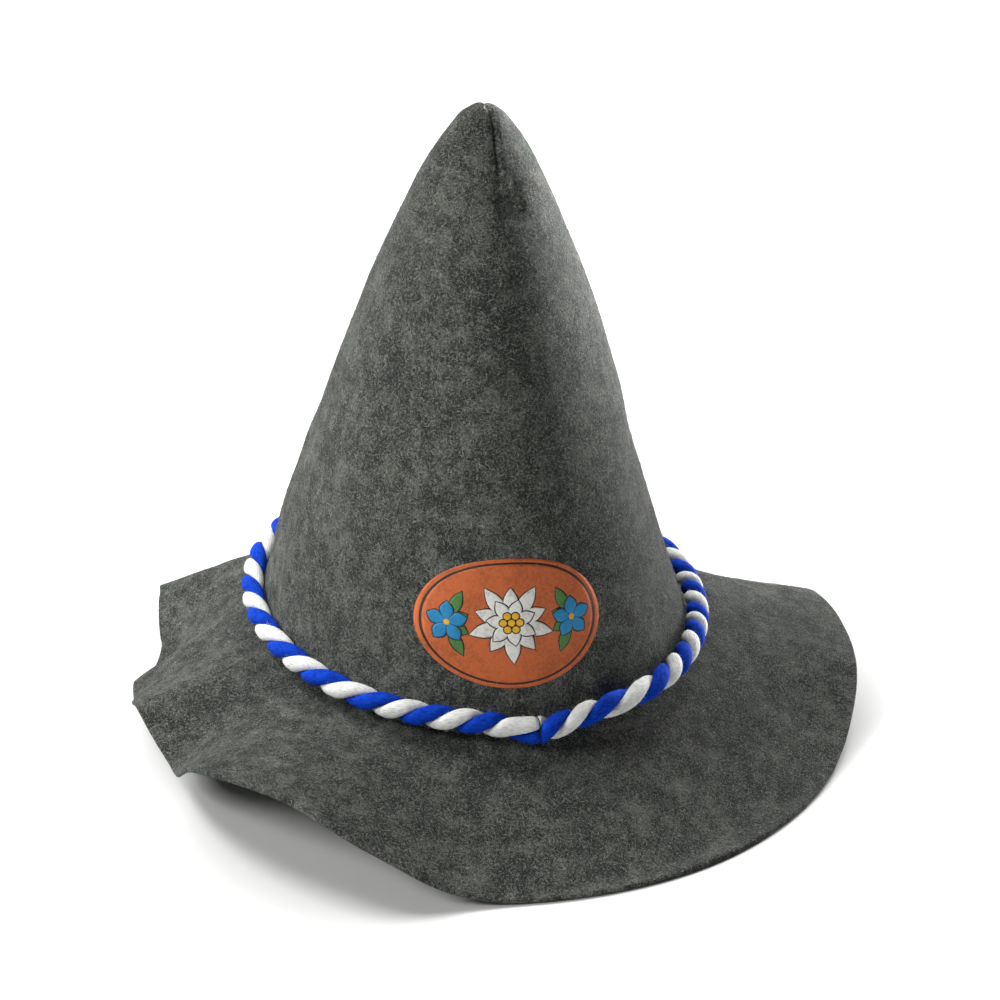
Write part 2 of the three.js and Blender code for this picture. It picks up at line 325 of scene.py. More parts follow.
# Felt mottle: the size of each layer and how far it moves the tone, and a drift from warm to cool
Layer = namedtuple("Layer", "size detail share")
FELT_TONE = 0.06
FELT_LAYERS = (
    Layer(0.024, 2, 0.34),
    Layer(0.0060, 3, 0.62),
    Layer(0.0009, 2, 0.85),
)
FELT_TINT_SIZE = 0.0025
FELT_TINT_RANGE = (0.35, 0.65)
NOISE_ROUGHNESS = 0.55

# Fibres that show in the felt: size, where their noise starts and is full, share of the tone, headings
Streak = namedtuple("Streak", "length width start full share headings")
FELT_STREAKS = (
    Streak(0.0017, 0.00036, 0.63, 0.82, 1.40, (12, 41, 77, 108, 142, 169)),
    Streak(0.0046, 0.00034, 0.66, 0.82, 1.40, (25, 63, 98, 131, 157)),
    Streak(0.0018, 0.00050, 0.60, 0.76, -0.08, (5, 52, 95, 140)),
)
STREAK_BEND_SIZE = 0.0045
STREAK_BEND = 0.0015
FELT_RELIEF = 0.0006

# Yarn: its hairs along it, slow changes of tone, and relief
YARN_HEADING = 90
YARN_HAIR_LENGTH = 0.0020
YARN_HAIR_WIDTH = 0.00034
YARN_SLOW_SIZE = 0.006
YARN_SLOW_SHARE = 0.5
YARN_TONE_RANGE = (0.45, 0.95)
YARN_RELIEF = 0.00035

# Loose hairs, ink and floor: sizes of their noise, range of tone, dullest share of the colour, and relief
HAIR_FLECK_SIZE = 0.004
HAIR_TONE_RANGE = (0.3, 0.7)
HAIR_DULLEST = 0.55
HAIR_RELIEF = 0.00005
INK_GRAIN_SIZE = 0.0011
INK_SLOW_SIZE = 0.009
INK_TONE_RANGE = (0.7, 1.15)
INK_DULLEST = 0.72
INK_RELIEF = 0.00020
FLOOR_SLOW_SIZE = 0.4
FLOOR_DULLEST = 0.98

# Stage and soft studio lights: each lamp's place, aim, width and height, watts and spread in degrees
FLOOR_HALF = 6.0
FLOOR_GAP = 0.0002
WORLD_COLOUR = (1.0, 1.0, 1.0, 1)
WORLD_STRENGTH = 0.07
Lamp = namedtuple("Lamp", "name place aim size power spread")
LAMPS = (
    Lamp("left_back", (-0.93, 0.65, 1.23), (0, 0, 0.08), (0.5, 0.5), 19, 180),
    Lamp("left_front", (-1.32, -0.30, 0.97), (0, 0, 0.08), (0.5, 0.5), 14, 180),
    Lamp("right_low", (1.34, 0.87, 0.24), (0, 0, 0.08), (0.6, 0.6), 42, 180),
    Lamp("right_high", (0.81, 0.79, 1.23), (0, 0, 0.08), (0.5, 0.5), 12, 180),
    Lamp("tip_edge", (1.02, 0.53, 0.56), (0, -0.01, 0.27), (0.20, 0.20), 0.95, 13),
    Lamp("overhead", (-0.3, 3.6, 3.2), (-0.3, 3.6, 0), (3.5, 6.0), 210, 180),
)

# Camera: turned and raised as in the photo, with its own roll and aim
CAMERA_TURN = math.radians(-15.5)
CAMERA_RISE = math.radians(25.111)
CAMERA_ROLL = math.radians(1.305)
CAMERA_DISTANCE = 1.0
AIM_ACROSS = 0.011148
AIM_UP = 0.036745
LENS_MM = 86.13
SENSOR_MM = 36

# Small steps for slopes and tables, the name of the felt's flat coordinates, and the way up
PROBE = 0.01
TINY = 1e-12
ROW_SAMPLES = 2001
SHEET_MAP = "Sheet"
UP = np.array([0, 0, 1.0])


def sample(rows, column, t):
    """Smooth value of one column of a table, where t counts its rows."""
    values = np.array([getattr(row, column) for row in rows], float)
    last = len(values) - 1
    row = np.clip(np.floor(t).astype(int), 0, last - 1)
    f = t - row
    a, b, c, d = (values[np.clip(row + k, 0, last)] for k in (-1, 0, 1, 2))
    bend = 2 * a - 5 * b + 4 * c - d
    twist = 3 * b - a - 3 * c + d
    return b + 0.5 * f * (c - a + f * (bend + f * twist))


def smoothstep(x, low, high):
    """Smooth rise from 0 at low to 1 at high."""
    f = np.clip((x - low) / (high - low), 0, 1)
    return f * f * (3 - 2 * f)


def unit(vectors):
    return vectors / np.maximum(np.linalg.norm(vectors, axis=-1, keepdims=True), TINY)


# Tables with a row added past their ends, so that the smooth curves run through both ends
above_tip = CROWN_SECTIONS[TIP_ROW - 1]
CROWN_TABLE = CROWN_SECTIONS + (
    Section(above_tip.height, -above_tip.half_width, -above_tip.half_depth, above_tip.shift),
)
FIRST_FOLD, SECOND_FOLD, LAST_FOLD = BRIM_FOLDS[0], BRIM_FOLDS[1], BRIM_FOLDS[-1]
BRIM_TABLE = (
    LAST_FOLD._replace(angle=LAST_FOLD.angle - 360),
    *BRIM_FOLDS,
    FIRST_FOLD._replace(angle=FIRST_FOLD.angle + 360),
    SECOND_FOLD._replace(angle=SECOND_FOLD.angle + 360),
)
ROW_STEPS = np.linspace(0, TIP_ROW, ROW_SAMPLES)
ROW_HEIGHTS = sample(CROWN_TABLE, "height", ROW_STEPS)

# The crown's foot is an even oval, so its box gives the place of the hat's own axis
crown_low, crown_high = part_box("crown")
crown_middle = (crown_low + crown_high) / 2
hat_axis = np.array([crown_middle.x, crown_middle.y - EDGE_DROP * math.sin(LEAN), CORD_PLANE_HEIGHT])
lean_turn = np.array(Matrix.Rotation(LEAN, 3, "X"))


def stand(points):
    """Sets points of the upright hat in its stance on the floor."""
    return points @ lean_turn.T + hat_axis


def unevenness(points, wavelengths, height, seed):
    """Gentle rise and fall of pressed felt: a sum of plane waves in seeded directions."""
    rng = np.random.default_rng(seed)
    total = np.zeros(points.shape[:-1])
    for wavelength in np.linspace(*wavelengths, WAVE_COUNT):
        direction = unit(rng.normal(size=3)) * 2 * math.pi / wavelength
        total += np.cos(points @ direction + rng.uniform(0, 2 * math.pi))
    return height * total / math.sqrt(WAVE_COUNT / 2)


# Meshes from grids of points

def add_mesh(name, vertices, faces, corner_uv, material_indices=None, smooth=None):
    """New object from vertices and faces, with the felt's own flat coordinates on its corners."""
    mesh = bpy.data.meshes.new(name)
    mesh.from_pydata(vertices.tolist(), [], faces)
    if smooth is None:
        smooth = np.ones(len(mesh.polygons), bool)
    mesh.polygons.foreach_set("use_smooth", smooth)
    if material_indices is not None:
        mesh.polygons.foreach_set("material_index", np.asarray(material_indices, np.int32))
    layer = mesh.uv_layers.new(name=SHEET_MAP)
    layer.uv.foreach_set("vector", np.asarray(corner_uv, np.float32).ravel())
    mesh.update()
    piece = bpy.data.objects.new(name, mesh)
    bpy.context.scene.collection.objects.link(piece)
    return piece


def grid_faces(rows, columns, wrap_rows):
    """Corner rows and columns of a grid's faces, whose columns run round and meet."""
    r, c = np.meshgrid(np.arange(rows if wrap_rows else rows - 1), np.arange(columns), indexing="ij")
    r, c = r.ravel(), c.ravel()
    return np.stack([r, r, r + 1, r + 1], 1), np.stack([c, c + 1, c + 1, c], 1)


def ring_mesh(name, points, flat):
    """Closed ring from rows of columns of points; flat has a column and a row more."""
    rows, columns = points.shape[:2]
    r, c = grid_faces(rows, columns, True)
    faces = (r % rows) * columns + c % columns
    return add_mesh(name, points.reshape(-1, 3), faces.tolist(), flat[r, c].reshape(-1, 2))


def capped_mesh(name, points, flat, first_cap, last_cap):
    """Closed body from rows of columns of points, each end drawn together in one point."""
    rows, columns = points.shape[:2]
    r, c = grid_faces(rows, columns, False)
    faces = (r * columns + c % columns).tolist()
    corner_uv = [flat[r, c].reshape(-1, 2)]
    vertices = np.concatenate([points.reshape(-1, 3), [first_cap, last_cap]])
    first, last = rows * columns, rows * columns + 1
    for i in range(columns):
        after = (i + 1) % columns
        faces.append([first, after, i])
        corner_uv.append([flat[0, i], flat[0, i + 1], flat[0, i]])
    foot = (rows - 1) * columns
    for i in range(columns):
        after = (i + 1) % columns
        faces.append([last, foot + i, foot + after])
        corner_uv.append([flat[-1, i], flat[-1, i], flat[-1, i + 1]])
    corner_uv = np.concatenate([np.asarray(part).reshape(-1, 2) for part in corner_uv])
    return add_mesh(name, vertices, faces, corner_uv)


# Crown

def crease_share(angle, height):
    """Rise of the front crease above the plain oval, as a share of the crown's half width."""
    crest = CREASE_LEAN[0] + (CREASE_LEAN[1] - CREASE_LEAN[0]) * height / CROWN_TIP
    from_crest = (angle - crest + math.pi) % (2 * math.pi) - math.pi
    away = np.hypot(from_crest, CREASE_ROUND)
    shown = smoothstep(height, *CREASE_FOOT) * (1 - smoothstep(height, *CREASE_TOP))
    return CREASE_SHARE * shown * (1 - smoothstep(away, *CREASE_SIDE)) * np.exp(-away / CREASE_SPREAD)


def crown_face(angle, t):
    """Smooth outer face of the crown with its front crease, before the dart."""
    height = sample(CROWN_TABLE, "height", t)
    half_width = sample(CROWN_TABLE, "half_width", t)
    half_depth = sample(CROWN_TABLE, "half_depth", t)
    rise = half_width * crease_share(angle, height)
    x = sample(CROWN_TABLE, "shift", t) + (half_width + rise) * np.sin(angle)
    y = -(half_depth + rise) * np.cos(angle)
    return np.stack([x, y, height + 0 * x], -1)


def crown_normal(angle, t):
    around = crown_face(angle + PROBE, t) - crown_face(angle - PROBE, t)
    upward = crown_face(angle, t + PROBE) - crown_face(angle, np.maximum(t - PROBE, 0))
    normal = unit(np.cross(around, upward))
    normal[t > TIP_ROW - PROBE] = (0, 0, 1)
    return normal


def dart_depth(points, folded):
    """Depth of the dart: a slit between round lips outside, a rounded fold inside."""
    below_tip = CROWN_TIP - points[..., 2]
    wander = DART_WANDER * np.sin(below_tip / DART_LENGTH * 2 * math.pi)
    side = points[..., 0] - DART_SIDE - wander
    away = np.abs(side)
    fade = 1 - smoothstep(below_tip, DART_LENGTH - DART_FADE, DART_LENGTH)
    if folded:
        return FOLD_DEPTH * fade * np.exp(-((away / FOLD_HALF_WIDTH) ** 2))
    opening = DART_OPENING * np.clip(below_tip / DART_LENGTH, 0, 1)
    near = np.clip(1 - np.maximum(away - opening, 0) / LIP_RADIUS, 0, 1)
    deep = NOTCH_SHARE + (1 - NOTCH_SHARE) * smoothstep(below_tip, 0, NOTCH_END)
    slit = LIP_RADIUS * deep * (1 - np.sqrt(1 - near**2))
    lip = LIP_RISE * np.exp(-(((away - LIP_REACH) / LIP_REACH) ** 2))
    from_pucker = np.hypot(side - PUCKER_SIDE, below_tip - PUCKER_DROP) / PUCKER_SPREAD
    from_dent = np.hypot(side - DENT_SIDE, below_tip - DENT_DROP) / DENT_SPREAD
    pucker = PUCKER_RISE * np.exp(-(from_pucker**2))
    dent = DENT_DEPTH * np.exp(-(from_dent**2))
    return fade * (slit - lip) - pucker + dent


def crown_point(angle, t, lift):
    """Point of the hat off the crown's outer face, with its dart and unevenness."""
    angle, t = np.broadcast_arrays(np.asarray(angle, float), np.asarray(t, float))
    face = crown_face(angle, t)
    waves = unevenness(face, CROWN_WAVES, CROWN_WAVE_HEIGHT, CROWN_WAVE_SEED)
    depth = dart_depth(face, folded=lift < 0)
    return face + crown_normal(angle, t) * (lift + waves - depth)[..., None]


def crown_row_at(height):
    return np.interp(height, ROW_HEIGHTS, ROW_STEPS)


def crown_columns():
    """Angles from the back round to the back, crowded towards the dart at front and back."""
    even = np.linspace(-math.pi, math.pi, CROWN_COLUMNS + 1)
    return even - COLUMN_CROWDING * np.sin(2 * even) / 2


def crown_flat(angles, t):
    """The crown's felt laid flat: a fan about the tip."""
    t = np.broadcast_to(t, (len(t), len(angles)))
    radius = (sample(CROWN_TABLE, "half_width", t) + sample(CROWN_TABLE, "half_depth", t)) / 2
    slant = np.hypot(CROWN_TIP - sample(CROWN_TABLE, "height", t), radius)
    turn = angles * radius / np.maximum(slant, PROBE * FELT)
    return np.stack([slant * np.sin(turn), -slant * np.cos(turn)], -1)


def make_crown():
    """The crown's felt, and the grid of its outer face for the fibres."""
    angles = crown_columns()
    outer_t = np.linspace(0, TIP_ROW, TIP_ROW * OUTER_STEPS_PER_ROW + 1)[1:-1, None]
    inner_t = np.linspace(TIP_ROW, 0, TIP_ROW * INNER_STEPS_PER_ROW + 1)[1:-1, None]
    edge_row = crown_row_at(FELT / 2 - EDGE_DROP)
    edge_t = np.zeros((EDGE_ROUND_STEPS, 1))
    edge_turn = np.linspace(0, math.pi, EDGE_ROUND_STEPS + 2)[1:-1, None]
    inner = crown_point(angles, inner_t, -FELT)
    outer = crown_point(angles, outer_t, 0.0)
    centre = crown_point(angles, edge_t + edge_row, 0.0)
    normal = crown_normal(*np.broadcast_arrays(angles, edge_t))
    edge = centre - normal * (FELT / 2 * (1 + np.cos(edge_turn)))[..., None]
    edge = edge - UP * (FELT / 2 * np.sin(edge_turn))[..., None]
    keep_inner = inner_t[:, 0] > edge_row
    keep_outer = outer_t[:, 0] > edge_row
    points = np.concatenate([inner[keep_inner], edge, outer[keep_outer]])
    rows_t = np.concatenate([inner_t[keep_inner], edge_t, outer_t[keep_outer]])
    tip = np.array([[0.0, 0, CROWN_TIP]])
    waves = unevenness(tip, CROWN_WAVES, CROWN_WAVE_HEIGHT, CROWN_WAVE_SEED)[0]
    outer_tip = tip[0] + (0, 0, waves - dart_depth(tip, False)[0])
    inner_tip = tip[0] + (0, 0, waves - FELT - dart_depth(tip, True)[0])
    flat = crown_flat(angles, rows_t)
    piece = capped_mesh("crown_felt", stand(points[:, :-1]), flat, stand(inner_tip), stand(outer_tip))
    return piece, stand(outer)


# Brim

def foot_wall(angle, height, stand_off):
    """Foot of the crown as a straight flare: points off its outer face, and the ways out from it."""
    half_width = CORD_HALF_WIDTH - BASE_FLARE * height
    half_depth = CORD_HALF_DEPTH - BASE_FLARE * height
    sin, cos = np.sin(angle), np.cos(angle)
    none = np.zeros_like(sin)
    outward = unit(np.stack([sin / half_width, -cos / half_depth, none], -1))
    normal = unit(outward + (0, 0, BASE_FLARE))
    point = np.stack([half_width * sin, -half_depth * cos, none + height], -1)
    return point + normal * stand_off, outward


def brim_middle(t):
    """Middle of the brim's felt from its sewing margin out to its rim, and the distance out along it."""
    angle = np.radians(sample(BRIM_TABLE, "angle", t + 1))
    slope = np.radians(sample(BRIM_TABLE, "slope", t + 1))
    width = sample(BRIM_TABLE, "width", t + 1)
    inset = 1.5 * FELT + MARGIN_GAP
    rows, out = [], []
    for height in np.linspace(MARGIN_TOP, MARGIN_FOOT, MARGIN_STEPS):
        point, outward = foot_wall(angle, height, -inset)
        rows.append(point)
        out.append(np.full_like(t, MARGIN_FOOT - height))
    bow = BOW * np.exp(-(((angle - BOW_ANGLE) / BOW_SPREAD) ** 2))
    wall_dip = math.pi / 2 - math.atan(BASE_FLARE)
    seam_dip = SEAM_SLOPE + SEAM_SHARE * slope
    turn = (wall_dip - seam_dip - bow) / BEND_STEPS

    def walk(length, dip):
        level = outward * (length * np.cos(dip))[:, None]
        fall = UP * (length * np.sin(dip))[:, None]
        rows.append(rows[-1] + (level - fall))
        out.append(out[-1] + length)

    for i in range(BEND_STEPS):
        walk(BEND_RADIUS * turn, wall_dip - (i + 0.5) * turn)
    for i in range(BRIM_STEPS):
        share = (i + 0.5) / BRIM_STEPS
        droop = smoothstep(share, 0, DROOP_END)
        walk(width / BRIM_STEPS, seam_dip + (slope - seam_dip) * droop + bow * (1 - 2 * share))
    return np.stack(rows), np.stack(out), angle


def rest_on_floor(points):
    """Presses felt that would sink into the floor flat on it, with a soft start."""
    lowest = FELT / 2
    height = points[..., 2] - lowest
    points[..., 2] = lowest + REST_SOFTNESS * np.logaddexp(0, height / REST_SOFTNESS)
    return points


def make_brim():
    """The brim's felt, and the grid of its shown top face for the fibres."""
    columns = len(BRIM_FOLDS) * BRIM_COLUMNS_PER_FOLD
    t = np.arange(columns) / BRIM_COLUMNS_PER_FOLD
    middle, out, angle = brim_middle(t)
    waves = unevenness(middle, BRIM_WAVES, BRIM_WAVE_HEIGHT, BRIM_WAVE_SEED)
    middle[..., 2] += waves * smoothstep(out, 0.0, BRIM_WAVE_REACH)
    middle = rest_on_floor(stand(middle))
    along = np.roll(middle, -1, axis=1) - np.roll(middle, 1, axis=1)
    outward = np.gradient(middle, axis=0)
    normal = unit(np.cross(outward, along))
    half = FELT / 2
    top, bottom = middle + normal * half, middle - normal * half
    bottom[..., 2] = np.maximum(bottom[..., 2], 0)
    rim_out = unit(middle[-1] - middle[-2])
    rim = [
        middle[-1] + normal[-1] * side * (half - RIM_ROUND) + rim_out * RIM_ROUND
        for side in (-1, 0, 1)
    ]
    path = np.concatenate([bottom, np.stack(rim), top[::-1]])
    path[..., 2] = np.maximum(path[..., 2], 0)
    edge = out[-1:] + FELT * np.array(RIM_SHARES)[:, None]
    reach = np.concatenate([2 * out[-1:] + FELT - out, edge, out[::-1], out[:1]])
    reach = np.concatenate([reach, reach[:, :1]], axis=1) + (CORD_HALF_WIDTH + CORD_HALF_DEPTH) / 2
    round_angle = np.append(angle, angle[0] + 2 * math.pi)
    flat = np.stack([reach * np.sin(round_angle), -reach * np.cos(round_angle)], -1)
    shown = top[-RIM_CLEAR_STEPS:MARGIN_STEPS + BEND_STEPS - 1:-1]
    return ring_mesh("brim_felt", path, flat), np.concatenate([shown, shown[:, :1]], axis=1)


# Cord

def cord_centre(degrees):
    """Centre line of the cord and the way out from it; the cord dips where its two ends meet."""
    from_join = (degrees - JOIN_DEGREES + 180) % 360 - 180
    dip = JOIN_DIP * np.exp(-((from_join / JOIN_DIP_DEGREES) ** 2))
    return foot_wall(np.radians(degrees), CORD_WALL_HEIGHT - dip, CORD_STAND_OFF)


def cord_frame(outward, twist):
    """Two directions square to the cord, turned by its twist."""
    cos, sin = np.cos(twist)[:, None], np.sin(twist)[:, None]
    return outward * cos + UP * sin, UP * cos - outward * sin


def strand_outline(turn):
    """Section of a strand about its own middle: plump outside, flat against the other strand."""
    turn = (turn + math.pi) % (2 * math.pi) - math.pi
    share = np.abs(turn) / (math.pi * STRAND_OUTSIDE)
    swing = np.minimum(share, 1)
    radius = CORD_RADIUS * (1 - STRAND_GROOVE * swing**STRAND_FULLNESS)
    inside = np.clip((share - 1) / (1 / STRAND_OUTSIDE - 1), 0, 1)
    out = radius * np.cos(math.pi / 2 * swing) + GAP / 2 - STRAND_OFFSET
    side = np.sign(turn) * radius * np.sin(math.pi / 2 * swing) * (1 - inside)
    return out, side


def make_strand(name, phase):
    """One strand: a plump bundle of yarns that winds round the cord, with rounded and swollen ends."""
    turns = sample(CORD_TWIST, "turns", TWIST_ROWS)
    even = np.linspace(turns[0], turns[-1], round(STEPS_PER_TURN * (turns[-1] - turns[0])) + 1)
    t = np.interp(even, turns, TWIST_ROWS)
    centre, outward = cord_centre(sample(CORD_TWIST, "angle", t))
    twist = 2 * math.pi * sample(CORD_TWIST, "turns", t)
    away, across = cord_frame(outward, phase + twist)
    run = np.concatenate([[0], np.cumsum(np.linalg.norm(np.diff(centre, axis=0), axis=1))])
    from_end = np.minimum(run, run[-1] - run)
    drawn_in = END_SCALE + (1 - END_SCALE) * np.sqrt(1 - np.clip(1 - from_end / END_ROUND, 0, 1) ** 2)
    swollen = drawn_in * (1 + END_SWELL * np.exp(-((from_end / END_SWELL_REACH) ** 2)))
    turn = np.linspace(0, -2 * math.pi, YARNS * POINTS_PER_YARN + 1)
    groove = 1 - YARN_GROOVE * (1 - np.abs(np.cos(YARNS * turn / 2)))
    out, side = strand_outline(turn + (YARN_TURNS * twist)[:, None])
    size = groove * swollen[:, None]
    axis = centre + away * (STRAND_OFFSET * swollen)[:, None]
    rise = away[:, None] * (out * size)[..., None]
    breadth = across[:, None] * (side * size)[..., None]
    points = axis[:, None] + rise + breadth
    flat = np.stack(np.broadcast_arrays(turn * STRAND_OFFSET, run[:, None]), -1)
    points, axis = stand(points), stand(axis)
    return capped_mesh(name, points[:, :-1], flat, axis[0], axis[-1]), points


def make_tie():
    """Sewing thread wound round the join of the cord, over the ends of both strands."""
    centre, outward = cord_centre(np.array([float(JOIN_DEGREES)]))
    along = np.cross(outward[0], UP)
    away, across = cord_frame(outward, np.array([2 * math.pi * CORD_TWIST[0].turns]))
    t = np.linspace(0, 1, TIE_TURNS * TIE_STEPS + 1)[:, None]
    winding = 2 * math.pi * TIE_TURNS * t + TIE_START
    out = away * np.cos(winding) + across * np.sin(winding)
    swing = np.arcsin(np.abs(np.sin(winding))) / (math.pi / 2)
    grooved = np.maximum(1 - STRAND_GROOVE * swing**STRAND_FULLNESS, TIE_TAUTNESS)
    reach = grooved * END_SCALE * (1 + END_SWELL)
    axis = centre + out * (CORD_RADIUS * reach + TIE_THREAD) + (t - 0.5) * along * TIE_SPREAD
    turn = np.linspace(0, 2 * math.pi, TIE_SIDES + 1)
    around = out[:, None] * np.cos(turn)[:, None] - along * np.sin(turn)[:, None]
    points = axis[:, None] + TIE_THREAD * around
    flat = np.stack(np.broadcast_arrays(turn * TIE_THREAD, winding * CORD_RADIUS), -1)
    axis = stand(axis)
    return capped_mesh("cord_tie_thread", stand(points[:, :-1]), flat, axis[0], axis[-1])


# Badge

def badge_point(across, along, lift):
    """Point off the crown's face from a place on the flat badge."""
    middle_angle = np.radians(BADGE_DEGREES)
    middle_row = crown_row_at(BADGE_HEIGHT)
    reach = sample(CROWN_TABLE, "half_width", middle_row)
    normal = crown_normal(np.array([middle_angle]), np.array([middle_row]))[0]
    height = BADGE_HEIGHT + along * np.hypot(normal[0], normal[1])
    return stand(crown_point(middle_angle + across / reach, crown_row_at(height), lift))


def disc(half_width, half_height, steps, at=(0, 0)):
    """Oval as a square grid drawn out round."""
    u, v = np.meshgrid(np.linspace(-1, 1, steps), np.linspace(-1, 1, steps))
    across = at[0] + half_width * u * np.sqrt(1 - v * v / 2)
    along = at[1] + half_height * v * np.sqrt(1 - u * u / 2)
    return across, along


def petal(at, heading, start, end, half_width):
    """Pointed leaf shape that lies out along a heading."""
    s, w = np.meshgrid(np.linspace(0, 1, PETAL_STEPS), np.linspace(-1, 1, PETAL_COLUMNS))
    out = start + (end - start) * s
    side = w * half_width * np.maximum(np.sin(math.pi * s**PETAL_FULLNESS), PETAL_TIP)
    cos, sin = math.cos(heading), math.sin(heading)
    return at[0] + out * cos - side * sin, at[1] + out * sin + side * cos


def film(across, along, layer):
    """Thin closed film on the crown from a grid of places: its vertices, faces and smooth faces."""
    low = FILM_LIFT if layer == 0 else FILM_TOP + INK * (layer - 1)
    top = badge_point(across, along, FILM_TOP + INK * layer)
    bottom = badge_point(across, along, low)
    rows, columns = across.shape
    index = np.arange(rows * columns).reshape(rows, columns)
    quads = np.stack([index[:-1, :-1], index[:-1, 1:], index[1:, 1:], index[1:, :-1]], -1).reshape(-1, 4)
    edge = np.concatenate([index[0], index[1:, -1], index[-1, -2::-1], index[-2:0:-1, 0]])
    after = np.roll(edge, -1)
    sides = np.stack([edge, edge + index.size, after + index.size, after], 1)
    faces = np.concatenate([quads, quads[:, ::-1] + index.size, sides])
    smooth = np.arange(len(faces)) < 2 * len(quads)
    return np.concatenate([top.reshape(-1, 3), bottom.reshape(-1, 3)]), faces, smooth


def badge_shapes():
    """The badge's design: the ink, its layer and its outline, from the ground up."""
    yield "ground", 0, disc(BADGE_HALF_WIDTH, BADGE_HALF_HEIGHT, GROUND_STEPS)
    border = (("dark", BORDER_OUTSIDE), ("ground", BORDER_INSIDE))
    for layer, (ink, share) in enumerate(border, BORDER_LAYER):
        yield ink, layer, disc(BADGE_HALF_WIDTH * share, BADGE_HALF_HEIGHT * share, GROUND_STEPS)
    for side in (-1, 1):
        at = (side * GENTIAN_OUT, GENTIAN_UP)
        for heading, length in LEAVES:
            angle = math.radians(heading if side > 0 else 180 - heading)
            yield "dark", LEAF_LAYER, petal(at, angle, 0, length + OUTLINE, LEAF_HALF_WIDTH + OUTLINE)
            yield "green", LEAF_LAYER + 1, petal(at, angle, 0, length, LEAF_HALF_WIDTH)
        yield from flower(at, GENTIAN, FLOWER_LAYER)
    yield from flower((0, EDELWEISS_UP), EDELWEISS_OUTER, FLOWER_LAYER)
    yield from flower((0, EDELWEISS_UP), EDELWEISS_INNER, INNER_LAYER)
    for i in range(HEAD_COUNT + 1):
        turn = 2 * math.pi * i / HEAD_COUNT
        out = HEAD_RING if i < HEAD_COUNT else 0
        at = (out * math.cos(turn), EDELWEISS_UP + out * math.sin(turn))
        yield "dark", HEAD_LAYER, disc(HEAD_RADIUS + OUTLINE, HEAD_RADIUS + OUTLINE, HEAD_STEPS, at)
        yield "yellow", HEAD_LAYER + 1, disc(HEAD_RADIUS, HEAD_RADIUS, HEAD_STEPS, at)


def flower(at, kind, layer):
    """A ring of petals, each with a dark outline under it, and a pale eye."""
    for i in range(kind.petals):
        heading = kind.turn + 2 * math.pi * i / kind.petals
        length = kind.length * (1 if i % 2 else kind.short)
        yield "dark", layer, petal(at, heading, 0, length + OUTLINE, kind.half_width + OUTLINE)
        yield kind.ink, layer + 1, petal(at, heading, 0, length, kind.half_width)
    if kind.eye:
        yield "yellow", layer + 2, disc(kind.eye, kind.eye, HEAD_STEPS, at)


def make_badge():
    """All the films of the badge in one mesh, with an ink for each."""
    vertices, faces, inks, smooth = [], [], [], []
    count = 0
    for ink, layer, (across, along) in badge_shapes():
        points, quads, smooth_quads = film(across, along, layer)
        vertices.append(points)
        faces.append(quads + count)
        inks.append(np.full(len(quads), list(INKS).index(ink)))
        smooth.append(smooth_quads)
        count += len(points)
    vertices, faces = np.concatenate(vertices), np.concatenate(faces)
    uv = vertices[faces.ravel()][:, :2]
    inks, smooth = np.concatenate(inks), np.concatenate(smooth)
    return add_mesh("front_badge_film", vertices, faces.tolist(), uv, inks, smooth)


# Loose fibres

def scatter(grid, count, rng):
    """Places spread evenly by area over a grid of points, with their normals and one way along."""
    corner = grid[:-1, :-1]
    around = grid[:-1, 1:] - corner
    upward = grid[1:, :-1] - corner
    square = np.cross(around, upward)
    area = np.linalg.norm(square, axis=-1).ravel()
    pick = rng.choice(area.size, count, p=area / area.sum())
    u, v = rng.random((2, count, 1))
    picked = [part.reshape(-1, 3)[pick] for part in (corner, around, upward, square)]
    corner, around, upward, square = picked
    return corner + u * around + v * upward, unit(square), unit(around)


def make_fibres(name, grid, kinds, seed):
    """Short curved fibres that stand a little off a surface, joined in one mesh."""
    rng = np.random.default_rng(seed)
    vertices, faces, slots = [], [], []
    count = 0
    for slot, kind in enumerate(kinds):
        points = fibre_points(grid, kind, rng)
        vertices.append(points.reshape(-1, 3))
        first = count + np.arange(kind.count)[:, None, None] * FIBRE_POINTS
        faces.append((first + FIBRE_FACES).reshape(-1, 3))
        slots.append(np.full(kind.count * len(FIBRE_FACES), slot))
        count += kind.count * FIBRE_POINTS
    faces = np.concatenate(faces)
    uv = np.zeros((faces.size, 2))
    return add_mesh(name, np.concatenate(vertices), faces.tolist(), uv, np.concatenate(slots))


def fibre_points(grid, kind, rng):
    """Points of each fibre: a root, two rings of three and a tip."""
    place, normal, around = scatter(grid, kind.count, rng)
    heading = rng.uniform(0, 2 * math.pi, (kind.count, 1))
    along = around * np.cos(heading) + np.cross(normal, around) * np.sin(heading)
    side = np.cross(normal, along)
    length = kind.length * rng.uniform(*FIBRE_LENGTHS, (kind.count, 1))
    rise = length * rng.uniform(*kind.rise, (kind.count, 1))
    curl = length * rng.uniform(-FIBRE_CURL, FIBRE_CURL, (kind.count, 1))
    radius = kind.radius * rng.uniform(*FIBRE_RADII, (kind.count, 1))
    root = place - normal * kind.radius

    def station(s):
        return root + along * length * s + side * curl * s * s + normal * rise * s * (2 - s)

    rings = []
    for s in (1 / 3, 2 / 3):
        middle = station(s)
        for turn in (0, 2 * math.pi / 3, 4 * math.pi / 3):
            rings.append(middle + radius * (normal * math.cos(turn) + side * math.sin(turn)))
    return np.stack([station(0), *rings, station(1)], 1)


# Materials

